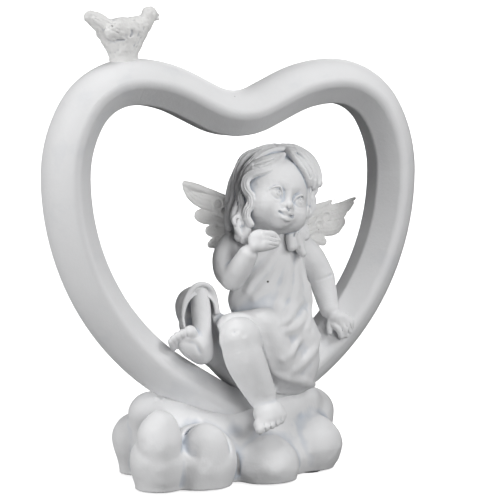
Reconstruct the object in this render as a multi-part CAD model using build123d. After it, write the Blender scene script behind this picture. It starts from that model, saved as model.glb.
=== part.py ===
"""Cast resin figurine: a small winged girl seated in a heart-shaped ring on a cloud base, with a bird on top.

Units are millimetres. The origin is the centre of the footprint on the table, +Z is up, -Y is the front
and +X is the viewer's right. "Right" and "left" in node names are the angel's own.
Each casting is a separate solid, joined by steel dowels or by a spigot in a socket with a thin glue gap.
"""

import os
from math import asin, cos, degrees, radians, sin

from build123d import *

# Driving dimensions
GLUE = 0.1  # glue line between two castings
PAD_THICKNESS = 1.2
PAD_RADIUS = 7.0
PAD_CENTRES = [(-36, -14), (32, -12), (-28, 20), (24, 20)]

# Heart ring: centreline in the XZ plane, built as a chain of arcs and straight runs
DIP_Z = 169.5  # centreline height at the dip between the two lobes
DIP_RADIUS, DIP_TURN = 30.0, 26.0
SHOULDER_RUN = 14.0  # straight run between the dip and a lobe
LOBE_RADIUS, LOBE_TURN = 56.0, 26.0
CORNER_RADIUS, CORNER_TURN = 29.0, 60.0
SIDE_RADIUS, SIDE_TURN = 57.0, 30.0
FLANK_RADIUS, FLANK_TURN = 112.0, 58.0
TIP_RADIUS = 19.0

# Section of the ring: (across the ring's front-to-back width, in towards the heart's middle)
RING_CREASE = (5.5, 10.3)  # edge of the flat inner face
RING_RIDGE = (16.0, 1.0)  # soft ridge along the front
RING_OUTSIDE = 11.0  # how far the rounded outside stands from the centreline
RIDGE_FILLET, CREASE_FILLET = 4.0, 2.5

# Cloud base: a smooth middle and the puffs around it, as (x, y, z, radius)
CLOUD_MIDDLE, CLOUD_MIDDLE_RADII = (-2, 0, 8), (46, 31, 30)
PUFFS = [
    (-46, -23, 14, 16.0),
    (-49, -27, 26, 11.0),
    (-28, -23, 15, 17.0),
    (5, -25, 15, 15.5),
    (23, -20, 16, 13.0),
    (37, -11, 14, 14.5),
    (42, 6, 26, 12.0),
    (-42, 12, 33, 9.5),
    (-44, 11, 17, 12.5),
    (-27, 24, 16, 15.5),
    (-3, 26, 14, 14.5),
    (20, 25, 17, 15.0),
    (39, 16, 13, 13.0),
]

# Angel: ends and radii of each limb's rounded cones
HAIR_CENTRE, HAIR_RADII = (21, 1, 134), (22.5, 18.5, 21.5)
FACE_CENTRE, FACE_RADII = (18.5, -6, 128), (15.5, 16, 15.5)
NECK = [((20.5, -2, 120), 8.2), ((20.5, -2, 106), 7.0)]
LOCKS = [
    [((1.5, -3, 130), 6.5), ((3, -6, 119), 6.0), ((4.5, -7, 110), 4.0)],
    [((39.5, -2, 131), 6.5), ((39.8, -2, 120), 5.4), ((37, -1, 112), 3.6)],
]
CHEST_CENTRE, CHEST_RADII = (19.5, -1, 98), (19, 11, 13.5)
BELLY_CENTRE, BELLY_RADII = (20.5, -3, 82), (22, 13.5, 17)
HIPS_CENTRE, HIPS_RADII = (23.5, -4, 67), (21.5, 14, 16)
SKIRT = [
    [((30, -8, 63), 13.0), ((0, -22, 72.5), 10.6)],
    [((14, -6, 73), 12.0), ((-12, -5, 79.5), 11.2)],
    [((33, -7, 61), 13.0), ((30, -11, 48), 12.2)],
]
UPPER_ARM_R = [((1.5, 0, 103.5), 7.0), ((-8.5, -12, 89), 5.9)]
FOREARM_R = [((-8.6, -12.2, 89.1), 5.7), ((-0.5, -23, 106.5), 4.6)]
PALM_R = [((-0.4, -23.2, 106.7), 4.8), ((6, -24.5, 112), 4.3)]
FINGERS_R = [((5.5, -26, 109.0 + 2.2 * k), (10.2, -25.5, 108.6 + 2.0 * k)) for k in range(3)]
UPPER_ARM_L = [((37, 0, 103.5), 7.0), ((45.2, -3, 90.5), 5.9)]
FOREARM_L = [((45.3, -3.2, 90.3), 5.7), ((45.2, -11, 76.5), 4.5)]
PALM_L = [((45.3, -11.2, 76.2), 4.6), ((49.2, -15, 71), 4.2)]
FINGERS_L = [(46.5 + 2.3 * k, -17.2 - 0.3 * k, 63.6 + 0.8 * k) for k in range(4)]
CALF_R = [((-17.5, -5.5, 80), 9.2), ((-20.8, -11.5, 66), 6.6)]
FOOT_R = [((-21, -12, 64.5), 6.2), ((-30, -14, 68.4), 4.6)]
TOES_R = [((-32.4 + 0.5 * k, -11.5 - 1.6 * k, 67.0 + 1.0 * k), 1.9 + 0.15 * k) for k in range(4)]
KNEE_L = [((4, -23, 71), 9.8), ((-5.5, -25.5, 72), 9.4)]
CALF_L = [((-5.4, -25.6, 71.8), 9.2), ((-0.8, -26, 56.5), 8.0)]
SHIN_L = [((-0.7, -26.1, 56.3), 7.8), ((4.5, -27, 41), 6.0)]
FOOT_L = [((4.4, -27.4, 40.5), 6.2), ((2.0, -33.5, 34.5), 5.2)]
TOES_L = [((-3.0 + 2.5 * k, -37.0 - 0.3 * k, 32.6 + 0.25 * k), 2.2 + 0.1 * k) for k in range(4)]

# Wings: root on the back, compass turn of the wing's plane, and the scalloped outline out and up from it
WING_THICKNESS = 3.6
RIGHT_WING = {
    "root": (13, 11, 108),
    "turn": 167.0,
    "leading": [(-4, 4), (6, 13), (17, 25), (27, 31)],
    "lobes": [((27, 31), (33.5, 28), (29, 20)), ((29, 20), (29.5, 13.5), (24, 11))]
    + [((24, 11), (24, 4), (17, 1)), ((17, 1), (12, -5), (4, -5))],
    "close": (-4, -6),
}
LEFT_WING = {
    "root": (35, 9, 108),
    "turn": 13.0,
    "leading": [(-9, 3), (8, 13), (20, 17.5), (40, 19.5)],
    "lobes": [((40, 19.5), (37.5, 12), (31, 11)), ((31, 11), (33.5, 4.5), (25, 2.5))]
    + [((25, 2.5), (24.5, -4), (17, -5)), ((17, -5), (13, -9.5), (4, -8))],
    "close": (-9, -7),
}

# Bird on the left-hand lobe, facing the dip
BIRD_BODY = [((-54.5, 0, 202), 7.0), ((-52, -0.5, 207), 7.4)]
BIRD_FOOT = [((-54.5, 0, 192), 4.6), ((-54.5, 0, 201), 5.9)]
BIRD_RUMP = [((-53, 0, 207), 6.6), ((-63.5, 1, 208.5), 3.8)]
BIRD_TAIL = [((-63, 1, 208), 3.6), ((-71, 1.5, 213), 2.0)]
BIRD_NECK = [((-51, -0.5, 208), 6.4), ((-44.5, -1.5, 213.8), 5.2)]
BIRD_BEAK = [((-42, -1.5, 214.5), 2.6), ((-38.8, -1.8, 214.2), 0.7)]
BIRD_WING_CENTRE, BIRD_WING_RADII = (-56, 0, 208.5), (8.5, 7.6, 4.4)

# Steel dowels: radius, and the two ends of each
HEART_DOWEL_RADIUS = 1.5
HEART_DOWELS = [((x, 0, 14), (x, 0, 33)) for x in (-6, 6)]
NECK_DOWEL_RADIUS = 1.25
NECK_DOWEL = [((20.5, -2, 96), (20.5, -2, 120))]
WING_DOWEL_RADIUS = 0.8
WING_DOWELS = [((12.5, 3, 105), (12.5, 12.4, 105)), ((28.5, 1, 105), (28.5, 9.4, 105))]
BIRD_DOWEL_RADIUS = 1.0
BIRD_DOWEL = [((-54.5, 0, 183), (-54.5, 0, 204))]
SEAT_DOWEL_RADIUS = 1.5
SEAT_DOWEL = [((16, -3, 44), (21, -3, 66))]


def ring_section(grow=0.0):
    """Section of the ring; its first axis runs front to back and its second out of the heart."""
    width, rise = RING_RIDGE
    flat, depth = RING_CREASE
    with BuildSketch() as section:
        with BuildLine():
            Polyline((-width, -rise), (-flat, -depth), (flat, -depth), (width, -rise))
            ThreePointArc((width, -rise), (0, RING_OUTSIDE), (-width, -rise))
        make_face()
        fillet(section.vertices().sort_by(Axis.Y)[2:], RIDGE_FILLET)
        fillet(section.vertices().sort_by(Axis.Y)[:2], CREASE_FILLET)
        if grow:
            offset(amount=grow)
    return section.sketch


def direction(angle):
    return Vector(cos(radians(angle)), 0, sin(radians(angle)))


def heart_centreline():
    """The right half of the heart, as runs and bends from the dip to the tip, then its mirror image."""
    edges = []
    point, heading = Vector(0, 0, DIP_Z), 0.0

    def run(length):
        nonlocal point
        end = point + direction(heading) * length
        edges.append(Edge.make_line(point, end))
        point = end

    def bend(radius, turn):
        """An arc turning clockwise, or the other way when the turn is negative."""
        nonlocal point, heading
        side = radius if turn > 0 else -radius
        centre = point + direction(heading - 90) * side
        end = centre - direction(heading - turn - 90) * side
        edges.append(Edge.make_tangent_arc(point, direction(heading), end))
        point, heading = end, heading - turn

    bend(DIP_RADIUS, -DIP_TURN)
    run(SHOULDER_RUN)
    bend(LOBE_RADIUS, LOBE_TURN)
    bend(CORNER_RADIUS, CORNER_TURN)
    bend(SIDE_RADIUS, SIDE_TURN)
    bend(FLANK_RADIUS, FLANK_TURN)
    slope = radians(180 + heading)
    run((point.X - TIP_RADIUS * sin(slope)) / cos(slope))
    bend(TIP_RADIUS, degrees(slope))
    half = Wire(edges)
    return Wire(half.edges() + half.mirror(Plane.YZ).edges())


def heart_pocket():
    """The pocket that takes the ring, wider than it by the glue line, as one sweep."""
    return sweep(Plane.YZ * Pos(0, DIP_Z) * ring_section(GLUE), heart_centreline())


def heart():
    """The ring itself, extruded along each run and turned about the centre of each bend."""
    pieces = []
    for edge in heart_centreline().edges():
        start, along = edge.position_at(0), edge.tangent_at(0)
        outwards = Vector(0, 1, 0).cross(along) * -1
        if outwards.dot(start - Vector(0, 0, 100)) < 0:
            outwards = outwards * -1
        face = Plane(origin=start, x_dir=(0, 1, 0), z_dir=Vector(0, 1, 0).cross(outwards)) * ring_section()
        if edge.geom_type == GeomType.CIRCLE:
            axis = Axis(edge.arc_center, (start - edge.arc_center).cross(along))
            pieces.append(revolve(face, axis, degrees(edge.length / edge.radius)))
        else:
            pieces.append(extrude(face, amount=edge.length, dir=along))
    return fused(pieces)


def rounded_cone(start, start_radius, end, end_radius):
    """Two balls and the cone that touches both."""
    start, end = Vector(start), Vector(end)
    length = (end - start).length
    tilt = asin((start_radius - end_radius) / length)
    low_mid, high_mid = (tilt - radians(90)) / 2, (tilt + radians(90)) / 2
    low = (start_radius * cos(tilt), start_radius * sin(tilt))
    high = (end_radius * cos(tilt), length + end_radius * sin(tilt))
    with BuildSketch(Plane.XZ) as half:
        with BuildLine():
            ThreePointArc(
                (0, -start_radius), (start_radius * cos(low_mid), start_radius * sin(low_mid)), low
            )
            Line(low, high)
            ThreePointArc(
                high,
                (end_radius * cos(high_mid), length + end_radius * sin(high_mid)),
                (0, length + end_radius),
            )
            Line((0, length + end_radius), (0, -start_radius))
        make_face()
    return Plane(origin=start, z_dir=end - start) * revolve(half.sketch, Axis.Z)


def cones(ends, grow=0.0):
    """A chain of rounded cones through (point, radius) pairs."""
    made = [
        rounded_cone(a, r_a + grow, b, r_b + grow - 0.05 * k)
        for k, ((a, r_a), (b, r_b)) in enumerate(zip(ends, ends[1:]))
    ]
    return fused(made)


def fused(shapes):
    whole = shapes[0]
    for shape in shapes[1:]:
        whole = whole + shape
    return whole


def ball(centre, radius):
    return Pos(*centre) * Sphere(radius)


def ellipsoid(centre, radii, grow=0.0):
    return Pos(*centre) * scale(Sphere(1), by=tuple(r + grow for r in radii))


def dowels(ends, radius, grow=0.0):
    """Straight pins; grown by the glue line they are the holes that take them."""
    made = []
    for start, end in ends:
        start, end = Vector(start), Vector(end)
        along = (end - start).normalized()
        length = (end - start).length + 2 * grow
        plane = Plane(origin=start - along * grow, z_dir=along)
        made.append(plane * Cylinder(radius + grow, length, align=(Align.CENTER, Align.CENTER, Align.MIN)))
    return made


def drilled(solid, holes):
    for hole in holes:
        solid = solid - hole
    return solid


def largest(shape):
    """The body of a cut shape without the crumbs that the cut leaves."""
    return sorted(shape.solids(), key=lambda solid: solid.volume)[-1]


def cloud():
    puffs = [ball((x, y, z), r) for x, y, z, r in PUFFS]
    whole = fused([ellipsoid(CLOUD_MIDDLE, CLOUD_MIDDLE_RADII)] + puffs)
    below = Pos(0, 0, PAD_THICKNESS) * Box(300, 300, 100, align=(Align.CENTER, Align.CENTER, Align.MAX))
    return whole - below


def felt_pads():
    disc = Cylinder(PAD_RADIUS, PAD_THICKNESS, align=(Align.CENTER, Align.CENTER, Align.MIN))
    return [Pos(x, y, 0) * disc for x, y in PAD_CENTRES]


def head(grow=0.0):
    parts = [
        ellipsoid(HAIR_CENTRE, HAIR_RADII, grow),
        ellipsoid(FACE_CENTRE, FACE_RADII, grow),
        cones(NECK, grow),
    ]
    return fused(parts + [cones(lock, grow) for lock in LOCKS])


def dress():
    parts = [
        ellipsoid(HIPS_CENTRE, HIPS_RADII),
        ellipsoid(BELLY_CENTRE, BELLY_RADII),
        ellipsoid(CHEST_CENTRE, CHEST_RADII),
    ]
    return fused(parts + [cones(panel) for panel in SKIRT])


def right_arm(grow=0.0):
    parts = [cones(UPPER_ARM_R, grow), cones(FOREARM_R, grow), cones(PALM_R, grow)]
    fingers = [rounded_cone(base, 1.7 + grow, tip, 1.3 + grow) for base, tip in FINGERS_R]
    return fused(parts + fingers)


def left_arm(grow=0.0):
    parts = [cones(UPPER_ARM_L, grow), cones(FOREARM_L, grow), cones(PALM_L, grow)]
    knuckle = Vector(*PALM_L[1][0])
    fingers = [
        rounded_cone(knuckle + Vector(k - 1.5, -1, 0), 2.0 + grow, tip, 1.4 + grow)
        for k, tip in enumerate(FINGERS_L)
    ]
    return fused(parts + fingers)


def right_leg(grow=0.0):
    toes = [ball(centre, radius + grow) for centre, radius in TOES_R]
    return fused([cones(CALF_R, grow), cones(FOOT_R, grow)] + toes)


def left_leg(grow=0.0):
    toes = [ball(centre, radius + grow) for centre, radius in TOES_L]
    limbs = [cones(part, grow) for part in (KNEE_L, CALF_L, SHIN_L, FOOT_L)]
    return fused(limbs + toes)


def wing(shape, grow=0.0):
    """A plate with a curved leading edge and scalloped feather tips, standing up from the back."""
    leading, lobes = shape["leading"], shape["lobes"]
    turn = radians(shape["turn"])
    plane = Plane(origin=shape["root"], x_dir=(cos(turn), sin(turn), 0), z_dir=(sin(turn), -cos(turn), 0))
    with BuildSketch() as outline:
        with BuildLine():
            Spline(*leading)
            for start, middle, end in lobes:
                ThreePointArc(start, middle, end)
            Polyline(lobes[-1][2], shape["close"], leading[0])
        make_face()
        if grow:
            offset(amount=grow)
    plate = extrude(outline.sketch, amount=WING_THICKNESS / 2 + grow, both=True)
    return plane * plate


def bird():
    parts = [BIRD_BODY, BIRD_FOOT, BIRD_RUMP, BIRD_TAIL, BIRD_NECK, BIRD_BEAK]
    return fused([ellipsoid(BIRD_WING_CENTRE, BIRD_WING_RADII)] + [cones(part) for part in parts])


def assemble():
    """Every casting cut to make room for its neighbours, with the holes for the dowels, by node name."""
    heart_pins = dowels(HEART_DOWELS, HEART_DOWEL_RADIUS)
    neck_pin = dowels(NECK_DOWEL, NECK_DOWEL_RADIUS)
    wing_pins = dowels(WING_DOWELS, WING_DOWEL_RADIUS)
    bird_pin = dowels(BIRD_DOWEL, BIRD_DOWEL_RADIUS)
    seat_pin = dowels(SEAT_DOWEL, SEAT_DOWEL_RADIUS)
    heart_holes = dowels(HEART_DOWELS, HEART_DOWEL_RADIUS, GLUE)
    neck_hole = dowels(NECK_DOWEL, NECK_DOWEL_RADIUS, GLUE)
    wing_holes = dowels(WING_DOWELS, WING_DOWEL_RADIUS, GLUE)
    bird_hole = dowels(BIRD_DOWEL, BIRD_DOWEL_RADIUS, GLUE)
    seat_hole = dowels(SEAT_DOWEL, SEAT_DOWEL_RADIUS, GLUE)

    ring_pocket = heart_pocket()
    head_pocket = head(GLUE)
    limb_sockets = [right_arm(GLUE), left_arm(GLUE), right_leg(GLUE), left_leg(GLUE)]
    wing_sockets = [wing(RIGHT_WING, GLUE), wing(LEFT_WING, GLUE)]

    body = drilled(dress(), [ring_pocket, head_pocket] + limb_sockets + wing_sockets)
    base = drilled(cloud(), [ring_pocket, limb_sockets[3]])
    parts = {
        "cloud_base": drilled(base, heart_holes),
        "heart_ring": drilled(heart(), heart_holes + bird_hole + seat_hole),
        "angel_body": drilled(body, neck_hole + wing_holes + seat_hole),
        "angel_head": drilled(head(), neck_hole),
        "right_arm": drilled(right_arm(), [head_pocket]),
        "left_arm": drilled(left_arm(), [head_pocket, ring_pocket]),
        "right_leg": drilled(right_leg(), [ring_pocket, limb_sockets[0]]),
        "left_leg": drilled(left_leg(), [ring_pocket]),
        "right_wing": drilled(wing(RIGHT_WING), [head_pocket] + wing_holes),
        "left_wing": drilled(wing(LEFT_WING), [head_pocket] + wing_holes),
        "bird": drilled(bird(), [ring_pocket] + bird_hole),
    }
    parts = {name: largest(shape) for name, shape in parts.items()}
    parts["heart_dowels"] = Compound(heart_pins)
    parts["neck_dowel"] = Compound(neck_pin)
    parts["wing_dowels"] = Compound(wing_pins)
    parts["bird_dowel"] = Compound(bird_pin)
    parts["seat_dowel"] = Compound(seat_pin)
    parts["felt_pads"] = Compound(felt_pads())
    return parts


os.makedirs("parts", exist_ok=True)
for node, shape in assemble().items():
    export_step(shape, f"parts/{node}.step")
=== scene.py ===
"""Studio picture of the cast resin angel figurine.

Each casting is modelled like clay. A signed distance on a grid, in the figurine's millimetres, is built up
from rounded shapes, cut and engraved, and then skinned as a mesh. The frame's heart ring sets the scale.
The ring, the steel dowels and the felt pads stay as the frame's own nodes, with materials from here.

X runs from the bird's side of the heart to the other, Y away from the viewer and Z up.
"""

from math import cos, pi, radians, sin

import bpy
import numpy as np
from mathutils import Euler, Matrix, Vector


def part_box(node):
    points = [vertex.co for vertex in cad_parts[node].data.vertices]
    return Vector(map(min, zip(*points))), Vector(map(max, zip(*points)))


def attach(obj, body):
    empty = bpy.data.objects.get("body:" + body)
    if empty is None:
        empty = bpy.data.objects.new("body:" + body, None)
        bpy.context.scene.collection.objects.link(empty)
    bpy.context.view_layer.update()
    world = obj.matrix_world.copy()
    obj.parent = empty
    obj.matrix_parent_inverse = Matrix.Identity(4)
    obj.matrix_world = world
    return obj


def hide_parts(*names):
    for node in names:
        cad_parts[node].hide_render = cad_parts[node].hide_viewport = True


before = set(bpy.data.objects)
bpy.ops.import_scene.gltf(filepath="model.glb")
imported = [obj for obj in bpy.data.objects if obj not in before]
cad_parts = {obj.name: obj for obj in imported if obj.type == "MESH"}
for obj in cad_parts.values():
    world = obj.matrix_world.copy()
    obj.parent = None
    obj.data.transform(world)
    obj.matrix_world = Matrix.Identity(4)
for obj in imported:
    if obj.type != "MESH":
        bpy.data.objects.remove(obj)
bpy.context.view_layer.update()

RING_WIDTH = 188.07  # the heart ring's width in figurine millimetres
RING_LOW, RING_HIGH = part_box("heart_ring")
MM = (RING_HIGH.x - RING_LOW.x) / RING_WIDTH
MIDDLE = (RING_HIGH.x + RING_LOW.x) / 2
FAR = 9.0  # the distance that stands for empty space, in figurine millimetres
RNG = np.random.default_rng(7)  # sways the strands of hair, then turns the cloud's mounds

# Grid steps in figurine millimetres
HEAD_STEP, BIRD_STEP, LIMB_STEP, LEG_STEP, BODY_STEP, CLOUD_STEP = 0.32, 0.34, 0.36, 0.40, 0.45, 0.60


# -------------------- shapes
# A shape is (lowest corner, highest corner, distance function of the grid's x, y and z).


def ellipsoid(centre, radii, turn=(0, 0, 0)):
    """An ellipsoid, turned by degrees about x, y and z."""
    centre, radii = np.array(centre, float), np.array(radii, float)
    local = np.array(Euler([radians(a) for a in turn]).to_matrix()).T

    def distance(x, y, z):
        p = (x - centre[0], y - centre[1], z - centre[2])
        near = far = 0.0
        for row, radius in zip(local, radii):
            q = (row[0] * p[0] + row[1] * p[1] + row[2] * p[2]) / radius
            near = near + q * q
            far = far + (q / radius) ** 2
        near = np.sqrt(near) + 1e-3
        far = np.sqrt(far) + 1e-3 / radii.max()
        return near * (near - 1) / far

    reach = radii.max()
    return centre - reach, centre + reach, distance


def ball(centre, radius):
    centre = np.array(centre, float)

    def distance(x, y, z):
        return np.sqrt((x - centre[0]) ** 2 + (y - centre[1]) ** 2 + (z - centre[2]) ** 2) - radius

    return centre - radius, centre + radius, distance


def segment(a, b, flat=1.0, facing=None):
    """A rounded cone between (x, y, z, radius) ends, thinner by the factor flat along facing."""
    start, along = a[:3], b[:3] - a[:3]
    length2 = max(float(along @ along), 1e-9)

    def distance(x, y, z):
        px, py, pz = x - start[0], y - start[1], z - start[2]
        t = np.clip((px * along[0] + py * along[1] + pz * along[2]) / length2, 0, 1)
        qx, qy, qz = px - t * along[0], py - t * along[1], pz - t * along[2]
        q2 = qx * qx + qy * qy + qz * qz
        if facing is not None:
            across = qx * facing[0] + qy * facing[1] + qz * facing[2]
            q2 = q2 + (flat * flat - 1) * across * across
        return np.sqrt(q2) - (a[3] + t * (b[3] - a[3]))

    reach = max(a[3], b[3])
    return np.minimum(a[:3], b[:3]) - reach, np.maximum(a[:3], b[:3]) + reach, distance


def curve(points, steps=6):
    """A smooth path through (x, y, z, radius) points."""
    p = np.array(points, float)
    p = np.vstack([2 * p[0] - p[1], p, 2 * p[-1] - p[-2]])
    path = []
    for i in range(1, len(p) - 2):
        for t in np.arange(steps) / steps:
            path.append(
                p[i]
                + 0.5 * t * (p[i + 1] - p[i - 1])
                + t * t * (p[i - 1] - 2.5 * p[i] + 2 * p[i + 1] - 0.5 * p[i + 2])
                + 0.5 * t**3 * (3 * p[i] - p[i - 1] - 3 * p[i + 1] + p[i + 2])
            )
    path.append(p[-2])
    return np.array(path)


def tube(points, flat=1.0, middle=None, facing=None, steps=6):
    """Segments along a smooth path; with a flat factor they lie flat against a form round its middle."""
    path = curve(points, steps) if len(points) > 2 else np.array(points, float)
    made = []
    for a, b in zip(path, path[1:]):
        out = facing
        if middle is not None:
            out = (a[:3] + b[:3]) / 2 - np.array(middle)
        if out is not None:
            out = np.array(out, float)
            out = out / np.linalg.norm(out)
        made.append(segment(a, b, flat, out))
    return made


def smooth_min(a, b, blend):
    """The smaller of two distances, with a fillet about as wide as blend where they meet."""
    if blend <= 0:
        return np.minimum(a, b)
    h = np.clip(0.5 + 0.5 * (b - a) / blend, 0, 1)
    return b + (a - b) * h - blend * h * (1 - h)


FINE_RECESS, BROAD_RECESS = 1.1, 3.6  # widths of the creases and of the hollows that hold the thinned paint and the painted shade


def added(name, data):
    """A new object in the scene."""
    made = bpy.data.objects.new(name, data)
    bpy.context.scene.collection.objects.link(made)
    return made


def sideways(path, out):
    """Unit vectors across a path, on a surface that faces out."""
    across = np.cross(np.gradient(path[:, :3], axis=0), out)
    return across / np.maximum(np.linalg.norm(across, axis=1), 1e-6)[:, None]


class Clay:
    """A block of signed distance on a regular grid that is built up, cut and skinned."""

    def __init__(self, low, high, step):
        self.low, self.step = np.array(low, float), step
        count = np.ceil((np.array(high) - self.low) / step).astype(int) + 1
        self.axes = [np.float32(lo + step * np.arange(n)) for lo, n in zip(self.low, count)]
        self.d = np.full(count, FAR, np.float32)

    def span(self, low, high):
        """The first cell and the one past the last that a box covers."""
        first = np.maximum(np.floor((np.array(low) - self.low) / self.step).astype(int), 0)
        last = np.minimum(np.ceil((np.array(high) - self.low) / self.step).astype(int) + 1, self.d.shape)
        return first, np.maximum(last, first)

    def measured(self, shapes, margin):
        """The window of cells round one shape or a list of them, and the distance of their union there."""
        shapes = shapes if isinstance(shapes, list) else [shapes]
        low = np.min([s[0] for s in shapes], axis=0) - margin
        high = np.max([s[1] for s in shapes], axis=0) + margin
        first, last = self.span(low, high)
        found = np.full(last - first, FAR, np.float32)
        for s_low, s_high, distance in shapes:
            a, b = self.span(s_low - margin, s_high + margin)
            if (b <= a).any():
                continue
            x, y, z = (self.axes[i][a[i] : b[i]] for i in range(3))
            here = tuple(slice(p, q) for p, q in zip(a - first, b - first))
            near = distance(x[:, None, None], y[None, :, None], z[None, None, :])
            found[here] = np.minimum(found[here], near)
        return tuple(slice(p, q) for p, q in zip(first, last)), found

    def add(self, shapes, blend=0.0):
        """Builds up with a shape, or with the union of a list of them."""
        here, found = self.measured(shapes, blend + 2 * self.step)
        self.d[here] = smooth_min(self.d[here], found, blend)

    def cut(self, shapes, blend=0.0):
        """Takes away a shape, or the union of a list of them."""
        here, found = self.measured(shapes, blend + 2 * self.step)
        self.d[here] = -smooth_min(-self.d[here], found, blend)

    def stroke(self, points, blend=0.0):
        """Lays a round tube along (x, y, z, radius) points."""
        self.add(tube(points), blend)

    def carve(self, points, blend=0.0):
        """Cuts a round groove along (x, y, z, radius) points."""
        self.cut(tube(points), blend)

    def keep(self, distance, blend=0.0):
        """Keeps only what lies inside a region given as a distance function."""
        x, y, z = self.axes
        region = distance(x[:, None, None], y[None, :, None], z[None, None, :])
        self.d = -smooth_min(-self.d, -region, blend)

    def sample(self, field, points):
        """A field of the grid at any points, in a straight line between cells."""
        q = (np.asarray(points, float) - self.low) / self.step
        q = np.clip(q, 0, np.array(field.shape) - 1.001)
        i = q.astype(int)
        f = q - i
        total = 0.0
        for corner in np.ndindex(2, 2, 2):
            weight = np.prod([f[:, k] if corner[k] else 1 - f[:, k] for k in range(3)], axis=0)
            total = total + weight * field[i[:, 0] + corner[0], i[:, 1] + corner[1], i[:, 2] + corner[2]]
        return total

    def landed(self, points, direction=(0, 1, 0), sink=0.0, back=14.0):
        """(x, y, z, radius) points moved along a direction onto the surface, and sunk into it."""
        direction = np.array(direction, float)
        reach = np.arange(-back, back, self.step / 2)
        made = []
        for p in np.array(points, float):
            ray = p[:3] + reach[:, None] * direction
            inside = np.flatnonzero(self.sample(self.d, ray) < 0)
            where = reach[inside[0]] if len(inside) else 0.0
            made.append([*(p[:3] + (where + sink) * direction), p[3]])
        return made

    def roughen(self, amount, size, seed):
        """Pushes the surface in and out with smooth noise."""
        rng = np.random.default_rng(seed)
        lattice = np.float32(rng.normal(size=[int(len(a) * self.step / size) + 3 for a in self.axes]))
        for axis, a in enumerate(self.axes):
            q = (a - a[0]) / size
            i = q.astype(int)
            f = q - i
            f = f * f * (3 - 2 * f)
            shape = [1, 1, 1]
            shape[axis] = len(f)
            f = f.reshape(shape)
            lattice = np.take(lattice, i, axis) * (1 - f) + np.take(lattice, i + 1, axis) * f
        self.d += np.float32(amount) * lattice

    def blurred(self, radius):
        """Mean of the clipped distance in a box; positive on bumps and negative in recesses."""
        field = np.clip(self.d, -radius, radius)
        n = max(1, int(round(radius / self.step)))
        for axis in range(3):
            pad = [(0, 0)] * 3
            pad[axis] = (n + 1, n)
            total = np.cumsum(np.pad(field, pad, mode="edge"), axis=axis, dtype=np.float64)
            size = field.shape[axis]
            high = np.take(total, np.arange(2 * n + 1, 2 * n + 1 + size), axis)
            low = np.take(total, np.arange(size), axis)
            field = np.float32((high - low) / (2 * n + 1))
        return field

    def skinned(self):
        """Surface nets: one vertex in each cell that the surface crosses, one quad for each crossed edge."""
        d = self.d.copy()
        for axis in range(3):
            rim = [slice(None)] * 3
            for end in (0, -1):
                rim[axis] = end
                d[tuple(rim)] = np.maximum(d[tuple(rim)], 0.01)
        inside = d < 0
        corners = list(np.ndindex(2, 2, 2))
        cells = [s - 1 for s in d.shape]

        def at(field, c):
            return field[c[0] : c[0] + cells[0], c[1] : c[1] + cells[1], c[2] : c[2] + cells[2]]

        full = sum(at(inside, c).astype(np.int8) for c in corners)
        mixed = (full > 0) & (full < 8)
        index = np.argwhere(mixed)
        number = np.full(mixed.shape, -1, np.int32)
        number[mixed] = np.arange(len(index))
        value = {c: at(d, c)[mixed] for c in corners}
        total, hits = np.zeros((len(index), 3)), np.zeros(len(index))
        for c in corners:
            for axis in range(3):
                if c[axis]:
                    continue
                e = tuple(1 if k == axis else c[k] for k in range(3))
                crossed = (value[c] < 0) != (value[e] < 0)
                t = value[c] / np.where(crossed, value[c] - value[e], 1)
                spot = np.array(c, float) + t[:, None] * (np.array(e) - np.array(c))
                total += spot * crossed[:, None]
                hits += crossed
        points = self.low + self.step * (index + total / hits[:, None])
        quads = []
        for axis in range(3):
            u, v = (axis + 1) % 3, (axis + 2) % 3
            edge = np.argwhere(np.diff(inside, axis=axis))
            edge = edge[(edge[:, u] > 0) & (edge[:, v] > 0)]
            du, dv = np.eye(3, dtype=int)[u], np.eye(3, dtype=int)[v]
            ring = [edge - du - dv, edge - dv, edge, edge - du]
            quad = np.stack([number[r[:, 0], r[:, 1], r[:, 2]] for r in ring], axis=1)
            outward = inside[edge[:, 0], edge[:, 1], edge[:, 2]]
            quads.append(np.where(outward[:, None], quad, quad[:, ::-1]))
        return self.settled(points), np.vstack(quads)

    def settled(self, points):
        """Moves the vertices onto the surface along its slope."""
        h = self.step * 0.5
        for _ in range(2):
            away = self.sample(self.d, points)
            rise = [self.sample(self.d, points + e) - self.sample(self.d, points - e) for e in h * np.eye(3)]
            slope = np.stack(rise, axis=1) / (2 * h)
            steep = np.maximum((slope**2).sum(1), 0.25)
            shift = np.clip(away / steep, -h, h)
            points = points - slope * shift[:, None]
        return points

    def mesh(self, name, material, place=None):
        """The skinned clay as an object that carries how far into a recess each vertex lies, which the paint
        turns into thinned paint and painted shade.
        """
        points, quads = self.skinned()
        fine = self.sample(self.blurred(FINE_RECESS), points)
        broad = self.sample(self.blurred(BROAD_RECESS), points)
        # Hollowness of each vertex: the paint darkens by it, as thinned paint and painted shade in creases
        # and hollows.
        recess = np.clip(-(0.9 * fine / FINE_RECESS + 1.1 * broad / BROAD_RECESS), -1, 1)
        if place is not None:
            points = place(points)
        world = points * MM + np.array([MIDDLE, 0, 0])
        mesh = bpy.data.meshes.new(name)
        mesh.vertices.add(len(world))
        mesh.vertices.foreach_set("co", world.ravel().astype(np.float32))
        mesh.loops.add(quads.size)
        mesh.loops.foreach_set("vertex_index", quads.ravel().astype(np.int32))
        mesh.polygons.add(len(quads))
        mesh.polygons.foreach_set("loop_start", np.arange(0, quads.size, 4, dtype=np.int32))
        mesh.polygons.foreach_set("use_smooth", np.ones(len(quads), bool))
        mesh.update(calc_edges=True)
        mesh.validate()
        mesh.attributes.new("recess", "FLOAT", "POINT").data.foreach_set("value", recess.astype(np.float32))
        mesh.materials.append(material)
        return added(name, mesh)


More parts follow.
